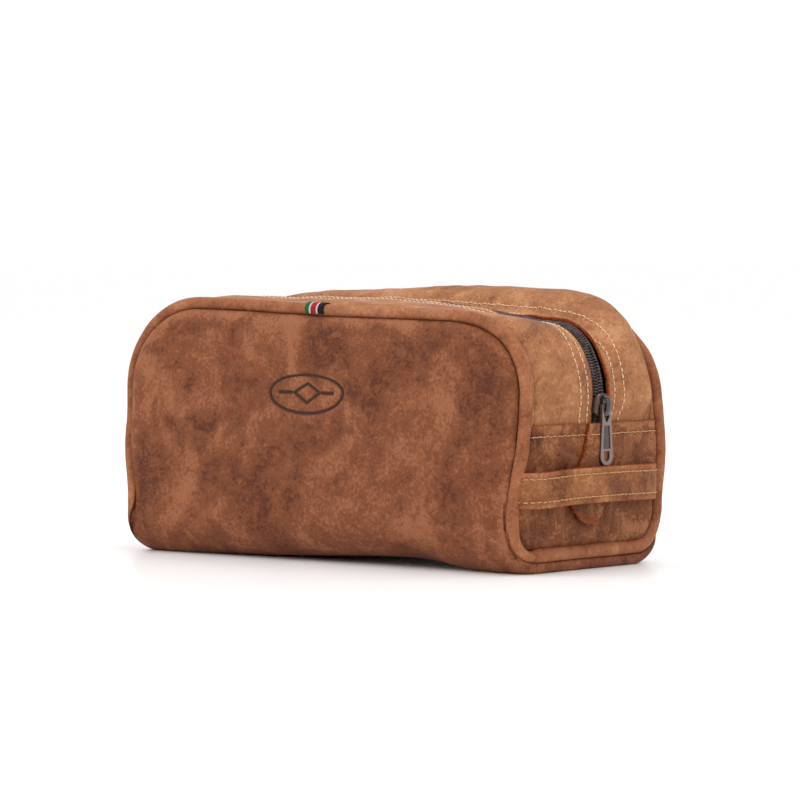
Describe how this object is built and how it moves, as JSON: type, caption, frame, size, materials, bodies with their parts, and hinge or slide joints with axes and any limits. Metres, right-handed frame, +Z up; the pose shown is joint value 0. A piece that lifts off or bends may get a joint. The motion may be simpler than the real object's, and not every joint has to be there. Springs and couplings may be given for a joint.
{
  "type": "shaving kit bag",
  "caption": "Leather shaving kit bag with a zip over the top and down both ends, piped seams, a grab strap on one end and a striped ribbon loop.",
  "frame": {"origin": "on the ground, at the middle of the flat base", "axes": "+X along the length towards the end with the grab strap, +Y from the front wall to the back wall, +Z up"},
  "size_m": [0.2762, 0.116, 0.1364],
  "materials": {
    "body_leather": "matte pull-up leather",
    "strip_leather": "matte pull-up leather, lighter",
    "strap_leather": "matte pull-up leather with raw edges",
    "piping_leather": "satin, stretched over a cord",
    "filler_cord": "twisted cotton",
    "lining": "plain woven cotton",
    "thread": "waxed thread",
    "zip_tape": "woven polyester",
    "zip_coil": "nylon coil",
    "zip_metal": "dark bronze coating",
    "ribbon": "woven striped ribbon"
  },
  "bodies": {
    "bag_base": {"body_panel_lower": "body_leather", "lining_lower": "lining", "right_end_panel": "body_leather", "left_end_panel": "body_leather", "right_end_lining": "lining", "left_end_lining": "lining", "right_end_piping": "piping_leather", "left_end_piping": "piping_leather", "right_end_piping_cord": "filler_cord", "left_end_piping_cord": "filler_cord", "right_end_stitching": "thread", "left_end_stitching": "thread", "right_zip_tongue": "body_leather", "left_zip_tongue": "body_leather", "right_zip_tail": "zip_coil", "left_zip_tail": "zip_coil", "right_zip_stop": "zip_metal", "left_zip_stop": "zip_metal", "strap_front_anchor": "strap_leather", "strap_back_anchor": "strap_leather"},
    "front_flap": {"front_wall": "body_leather", "front_wall_lining": "lining", "front_top_strip": "strip_leather", "front_piping": "piping_leather", "front_piping_cord": "filler_cord", "front_zip_tape": "zip_tape", "front_zip_coil": "zip_coil", "front_zip_stitching": "thread", "ribbon_loop": "ribbon"},
    "back_flap": {"back_wall": "body_leather", "back_wall_lining": "lining", "back_top_strip": "strip_leather", "back_piping": "piping_leather", "back_piping_cord": "filler_cord", "back_zip_tape": "zip_tape", "back_zip_coil": "zip_coil", "back_zip_stitching": "thread"},
    "slider": {"slider_body": "zip_metal", "slider_crown": "zip_metal"},
    "puller": {"pull_tab": "zip_metal"},
    "grab_strap": {"strap_outer_layer": "strap_leather", "strap_inner_layer": "strap_leather", "strap_stitching": "thread"}
  },
  "joints": [
    {"name": "front_mouth", "type": "hinge", "parent": "bag_base", "child": "front_flap", "pos_m": [0, -0.0581, 0.072], "axis": [1, 0, 0], "range_deg": [0, 14]},
    {"name": "back_mouth", "type": "hinge", "parent": "bag_base", "child": "back_flap", "pos_m": [0, 0.0581, 0.072], "axis": [-1, 0, 0], "range_deg": [0, 14]},
    {"name": "zip_travel", "type": "hinge", "parent": "bag_base", "child": "slider", "pos_m": [0.0828, 0.005, 0.0848], "axis": [0, 1, 0], "range_deg": [-52, 0], "deforming": ["front_zip_coil", "back_zip_coil"]},
    {"name": "puller_swing", "type": "hinge", "parent": "slider", "child": "puller", "pos_m": [0.13585, 0.005, 0.08081], "axis": [0, -1, 0], "range_deg": [0, 165]},
    {"name": "strap_flex", "type": "slide", "parent": "bag_base", "child": "grab_strap", "axis": [1, 0, 0], "range_m": [0, 0.01], "stiffness_N_per_m": 60}
  ]
}
